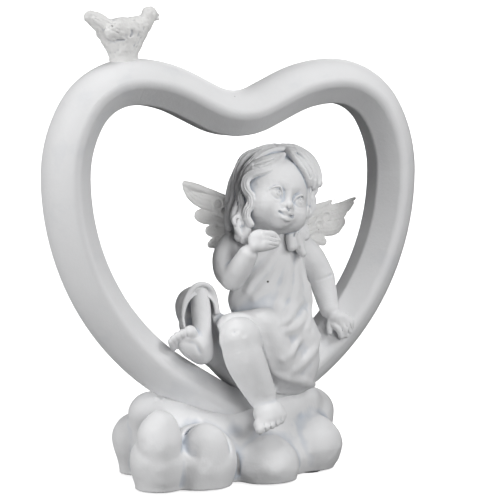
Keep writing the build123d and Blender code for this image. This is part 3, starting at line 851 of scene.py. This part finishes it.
# Feathers as (x, y, z, radius) from the root to the tip
RIGHT_FEATHERS = [
    [(13, 11.5, 112, 4.6), (6, 13, 121.5, 5.2), (-2, 15, 126.8, 4.9), (-8.7, 16.6, 128.8, 4.6),
     (-12.8, 17.6, 131.2, 3.9), (-16.2, 18.4, 134.4, 2.4)],
    [(13, 11.8, 108, 4.4), (6, 13.8, 116, 4.4), (-2, 16.2, 119.8, 4.2), (-7, 17.6, 120.4, 3.9),
     (-9.4, 18, 120.8, 3.2)],
    [(13, 12, 106, 4.8), (5, 14.2, 110.8, 4.8), (-1.5, 16.2, 113.2, 3.9), (-5, 17, 113.4, 2.6)],
    [(12, 12, 103, 3.8), (4, 14, 106.4, 3.9), (-2, 15.8, 107.6, 3.1), (-4.8, 16.4, 107, 1.9)],
]
RIGHT_ROLL = [(6, 11.6, 127.4, 1), (-1.6, 13.6, 130.8, 1.1), (-7.5, 15.3, 132.8, 1.5), (-13, 17, 134.6, 2),
              (-17.2, 18.4, 136.2, 1.4)]
RIGHT_CURLS = [(-2.3, 126.5, 2.3), (0.4, 123.4, 1.5)]
LEFT_FEATHERS = [
    [(34, 9, 112, 3.8), (44, 11.3, 118, 4.2), (52.5, 13.2, 120.6, 3.6), (60, 15, 121.7, 2.9),
     (65, 16.2, 123.2, 2.3), (69, 17, 124.8, 1.8), (72.6, 17.9, 126.7, 0.8)],
    [(44, 11.2, 116, 3.2), (53.7, 13.3, 119, 2.9), (60, 14.8, 119.6, 2.5), (64.4, 15.8, 120.6, 2.2),
     (68, 16.7, 122.3, 2), (70.8, 17.4, 124.3, 1.3)],
    [(48, 12.1, 115.4, 2.6), (56.2, 13.9, 117.4, 2.2), (61.4, 15.1, 117.9, 1.9), (65.2, 16, 118.9, 1.5),
     (68.6, 16.8, 121, 0.7)],
    [(42, 10.2, 120.6, 2.2), (50, 12, 123.4, 1.9), (55, 13.2, 124.8, 1.5), (58.6, 14, 126, 0.9),
     (60, 14.3, 126.9, 0.45)],
    [(36, 9.6, 108, 4.2), (46, 12.3, 113.2, 4.6), (51.5, 13.7, 113.8, 4.7), (56.3, 14.9, 113.4, 4.7),
     (60.4, 15.8, 113.6, 4.3), (64, 16.6, 115.2, 3.2)],
    [(35, 9.6, 103.5, 3.8), (44, 11.6, 107, 3.8), (50, 13, 107.8, 3.2), (53.4, 13.8, 106.4, 2.2)],
]
LEFT_ROLL = [(61.4, 14.6, 124, 0.5), (65, 15.6, 124.9, 0.6), (69, 16.6, 125.8, 0.6), (72.2, 17.4, 126.8, 0.5)]
LEFT_CURLS = [(54.2, 118.4, 2.6), (50.2, 115.2, 1.8)]


def engrave_barbs(clay, feather, face, rng):
    """Fine lines along both sides of a feather."""
    line = curve(feather, 5)
    across = sideways(line, face)
    for share in BARBS:
        wave = share + 0.06 * np.sin(np.linspace(0, 7, len(line)) + rng.uniform(0, 6))
        for side in (-1, 1):
            spot = line[:, :3] + across * (wave * line[:, 3])[:, None]
            lift = side * np.sqrt(np.maximum(1 - wave**2, 0.1)) * line[:, 3] / FEATHER_FLAT
            groove = np.c_[spot + lift[:, None] * np.array(face), np.full(len(line), 0.2)]
            clay.cut([segment(a, b) for a, b in zip(groove[2:-2], groove[3:-1])], 0.3)


def press_curl(clay, x, z, radius):
    """A round hollow with a raised rim in the down near the wing's root."""
    centre = clay.landed([(x, 12, z, radius)])[0]
    clay.cut(ellipsoid(centre[:3], (0.85 * radius, 0.9, 0.85 * radius)), 0.5)
    rim = [(x + radius * cos(a), 12, z + radius * sin(a), 0.5) for a in np.linspace(-0.6, 1.3 * pi, 14)]
    clay.add(tube(clay.landed(rim, sink=0.1), steps=2), 0.4)
    angles = np.linspace(0.5, 1.5 * pi, 9)
    fold = [(x + 0.45 * radius * cos(a), 12, z + 0.45 * radius * sin(a), 0.3) for a in angles]
    clay.add(tube(clay.landed(fold), steps=2), 0.3)


def make_wing(name, node, feathers, roll, curls, face, low, high, seed):
    """Overlapping feathers as flat tapered blades, a rolled leading edge and fine barbs."""
    clay = Clay(low, high, LIMB_STEP)
    for feather in feathers:
        clay.add(tube(feather, FEATHER_FLAT, facing=face), 0.45)
    rng = np.random.default_rng(seed)
    for feather in feathers:
        engrave_barbs(clay, feather, face, rng)
    clay.stroke(roll, 0.8)
    for x, z, radius in curls:
        press_curl(clay, x, z, radius)
    clay.roughen(0.09, 0.9, seed)
    clay.roughen(0.08, 2.2, seed + 1)
    show(clay, name, ROUGH, node)


def make_wings():
    make_wing("left_wing_cast", "left_wing", LEFT_FEATHERS, LEFT_ROLL, LEFT_CURLS, LEFT_WING_FACE,
              (28, 3, 94), (77, 22, 131), 21)
    make_wing("right_wing_cast", "right_wing", RIGHT_FEATHERS, RIGHT_ROLL, RIGHT_CURLS, RIGHT_WING_FACE,
              (-24, 5, 96), (18, 25, 142), 22)


# -------------------- bird


def make_bird():
    """The body on its foot, the breast and neck, the head with an open beak, and the raised tail."""
    clay = Clay((-78, -13, 188), (-33, 12, 224), BIRD_STEP)
    clay.add(ellipsoid((-55.4, -0.2, 207.2), (9.2, 6.8, 6.8), (0, -8, 0)))
    clay.stroke([(-54.7, 0, 193, 6.5), (-54.7, 0, 196.5, 6.4), (-54.4, 0, 200.5, 6.9)], 2.5)
    clay.stroke([(-56.8, 0, 200.6, 6), (-59.8, 0.2, 204.8, 5.8)], 2)
    clay.stroke([(-51.8, -0.2, 203.5, 6.3), (-49.2, -0.6, 208, 5.8), (-45.2, -1.1, 211.4, 4.1),
                 (-43.2, -1.4, 214.2, 3.4)], 2)
    clay.add(ball((-42.8, -1.4, 215.4), 3.6), 0.8)
    clay.stroke([(-40.4, -1.6, 215.5, 1.6), (-38.5, -1.7, 215, 0.8)], 0.5)
    clay.stroke([(-40.6, -1.6, 213.6, 1.5), (-38.5, -1.7, 213.2, 0.6)], 0.4)
    clay.stroke([(-61, 0.4, 207.6, 4.6), (-66, 1, 211.4, 4), (-70, 1.4, 214, 3)], 1.5)
    for side in (-1, 1):
        sculpt_bird_wing(clay, side)
        clay.cut(ball((-41.6, -1.4 + side * 3.4, 216), 0.6), 0.3)
    clay.roughen(0.16, 1.1, 31)
    clay.roughen(0.1, 2.3, 32)
    show(clay, "bird_cast", ROUGH, "bird")


def sculpt_bird_wing(clay, side):
    """A folded wing with its tip along the tail, and lines in the wing, breast and tail."""
    clay.add(ellipsoid((-59.4, side * 5, 207.8), (6.8, 2.8, 4.4), (0, -20, side * -6)), 0.3)
    clay.add(tube([(-60, side * 4.6, 208.6, 2.8), (-65, side * 3.2, 210.8, 2.2),
                   (-69, side * 1.8, 212.6, 1.4)], 1.5, facing=(0, 1, 0)), 0.6)
    under = [(-53.2, side * 8, 208, 0.3), (-53.6, side * 8, 205.6, 0.4), (-56, side * 8, 203.8, 0.3),
             (-60.4, side * 8, 203.4, 0.25)]
    lines = [under]
    lines += [[(-60, side * 8, 206.4 + 1.9 * k, 0.25), (-64, side * 8, 208.4 + 1.6 * k, 0.3),
               (-69.5, side * 8, 211.8 + 1.3 * k, 0.25)] for k in range(3)]
    lines += [[(-53 + 2.2 * k, side * 9, 199 + 0.8 * k, 0.25), (-50.6 + 2 * k, side * 9, 203.6 + k, 0.3),
               (-49.6 + 2.4 * k, side * 9, 207.6 + 1.4 * k, 0.25)] for k in range(2)]
    for line in lines:
        clay.cut(tube(clay.landed(line, (0, -side, 0), back=12), steps=4), 0.35)


# -------------------- cloud

# Mounds of the cloud: centre, how far each swells in x, y and z, and how much of that is left at the foot.
MOUNDS = [
    ((-48.8, -26.6, 13), (12.8, 14, 14.6), 0.86), ((-28.8, -25.4, 12), (17.6, 16.4, 17), 0.94),
    ((4.5, -26, 7), (15.4, 16.2, 12), 0.9), ((34.6, -10, 11.5), (15.4, 15.4, 14.4), 0.72),
    ((42, 6, 25), (11.4, 11.5, 11.4), 0.9), ((-44, 11, 17), (12.5, 13, 13.5), 0.75),
    ((-44.6, 0, 30.5), (7.6, 7.4, 7.4), 0.9), ((-27, 24, 14), (15, 15.4, 16), 0.8),
    ((-2, 25.5, 12), (14.6, 14.4, 15), 0.85), ((21, 24.5, 15), (14, 15, 15.6), 0.8),
    ((39.5, 16, 12), (13.4, 12.6, 13.4), 0.75),
]
# The two mounds at the front on the bird's side swell over a soft trench: centre, radii and turn
SWELLS = [
    ((-50, -31, 24), (10, 9.6, 13.4), (-14, 4, 0)),
    ((-28.4, -32.6, 17), (10.8, 9.2, 13.4), (-6, 0, 0)),
]
FILLER = [(-41.5, 38.2, 1.1), (-39.8, 37.4, 0.8), (-38.2, 38, 0.9), (-36.8, 37, 0.7)]  # x, z and radius
FLOOR_GAP = 1.2  # the felt pads hold the casting this far off the floor


def make_cloud():
    """Mounds round a core, a saddle that holds the ring, and crumbs of filler where the ring enters."""
    clay = Clay((-66, -45, 0), (60, 44, 47), CLOUD_STEP)
    clay.add(ellipsoid((-2, 0, 8), (47, 31, 24)))
    for (x, y, z), (rx, ry, rz), foot in MOUNDS:
        clay.add(ellipsoid((x, y, z), (rx, ry, rz), (0, 0, RNG.uniform(-20, 20))), 2.4)
        clay.stroke([(x, y, z, min(rx, ry) * 0.97), (x, y, 3, min(rx, ry) * foot)], 2.4)
    clay.stroke([(-42, 0, 33, 7.6), (-34, -2, 30, 9), (-24, -7, 22.5, 11.5), (-6, -8, 18, 12),
                 (8, -12, 22, 12), (22, -6, 29, 11), (34, -2, 32, 9)], 5)
    clay.stroke([(-40, 4, 28, 9), (-16, 6, 21, 12), (8, 8, 23, 12), (30, 4, 32, 9)], 5)
    clay.cut(ellipsoid((-8, -24, 29), (4, 5, 6), (0, 25, 0)), 5)
    for swell, radii, turn in SWELLS:
        trench = (swell[0] + 0.4, swell[1], swell[2] + 2.4)
        clay.cut(ellipsoid(trench, np.array(radii) + 0.1, turn), 2.6)
        clay.add(ellipsoid(swell, radii, turn), 1.4)
    crease = [(-11.2, -40, 15, 0.4), (-11.2, -40, 10, 0.8), (-11, -40, 5, 0.7)]
    clay.carve(clay.landed(crease, back=22), 0.8)
    for x, z, size in FILLER:
        spot = clay.landed([(x, -20, z, size)], back=22)[0]
        clay.add(ball(spot[:3], size), 0.3)
    clay.roughen(0.3, 9, 41)
    clay.roughen(0.08, 3, 42)
    clay.keep(lambda x, y, z: FLOOR_GAP - z)
    show(clay, "cloud_cast", RESIN, "cloud_base")


# -------------------- studio

FLOOR_FRONT, FLOOR_BEND, SWEEP_RADIUS, FLOOR_TOP, FLOOR_HALF_WIDTH = -2.0, 0.6, 0.8, 3.0, 4.0
VIEW_TURN = -24  # degrees about Z from straight in front to the camera's side
CAMERA_AT, CAMERA_TARGET = (-377.76, -866.93, 196.55), (6.86, -3.05, 105.5)
LIGHT_TARGET = (0, 0, 0.11)
LIGHTS = {  # place, size and power
    "key": ((0.50, -0.95, 0.75), (0.45, 0.45), 5.0),
    "top": ((-0.05, -0.12, 1.30), (0.5, 0.5), 6.0),
    "side": ((-1.25, 0.04, 0.22), (0.22, 0.5), 10.5),
    "fill": ((0.02, -1.27, 0.32), (0.7, 0.4), 7.2),
    "back": ((0.70, 1.15, 0.50), (0.7, 0.7), 11.0),
}


def paper_floor():
    """A pale sweep of paper: flat under the figurine and curved up behind it."""
    m = Nodes("paper")
    m.surface("Base Color", (0.9, 0.9, 0.9, 1))
    m.surface("Roughness", 0.9)
    m.surface("Emission Color", (1, 1, 1, 1))
    m.surface("Emission Strength", 0.8)
    profile = [(FLOOR_FRONT, 0.0), (FLOOR_BEND, 0.0)]
    for angle in np.linspace(0.1, pi / 2, 16):
        profile.append((FLOOR_BEND + SWEEP_RADIUS * sin(angle), SWEEP_RADIUS * (1 - cos(angle))))
    profile.append((FLOOR_BEND + SWEEP_RADIUS, FLOOR_TOP))
    points = [(x, y, z) for x in (-FLOOR_HALF_WIDTH, FLOOR_HALF_WIDTH) for y, z in profile]
    n = len(profile)
    faces = [(k, k + n, k + n + 1, k + 1) for k in range(n - 1)]
    mesh = bpy.data.meshes.new("paper_floor")
    mesh.from_pydata(points, [], faces)
    mesh.polygons.foreach_set("use_smooth", [True] * len(faces))
    mesh.materials.append(m.material)
    floor = added("paper_floor", mesh)
    floor.rotation_euler.z = radians(VIEW_TURN)
    floor.visible_diffuse = False
    floor.visible_glossy = False
    return floor


def aim(thing, where, target):
    thing.location = where
    thing.rotation_euler = (target - where).to_track_quat("-Z", "Y").to_euler()


def soft_light(name, where, size, power):
    data = bpy.data.lights.new(name, "AREA")
    data.shape = "RECTANGLE"
    data.size, data.size_y = size
    data.energy = power
    aim(added(name, data), Vector(where), Vector(LIGHT_TARGET))


def pale_world():
    world = bpy.data.worlds.new("studio")
    world.use_nodes = True
    background = world.node_tree.nodes["Background"]
    background.inputs["Color"].default_value = (1, 1, 1, 1)
    background.inputs["Strength"].default_value = 0.05
    bpy.context.scene.world = world


def make_camera():
    data = bpy.data.cameras.new("camera")
    data.lens = 145.4
    data.sensor_width = 36.0
    camera = added("camera", data)
    aim(camera, Vector(CAMERA_AT) * MM, Vector(CAMERA_TARGET) * MM)
    bpy.context.scene.camera = camera


make_head()
make_body()
make_right_arm()
make_left_arm()
make_left_leg()
make_right_leg()
make_wings()
make_bird()
make_cloud()
paint_carried_nodes()

paper_floor()
for light, (where, size, power) in LIGHTS.items():
    soft_light(light, where, size, power)
pale_world()
bpy.context.scene.view_settings.view_transform = "Standard"
make_camera()
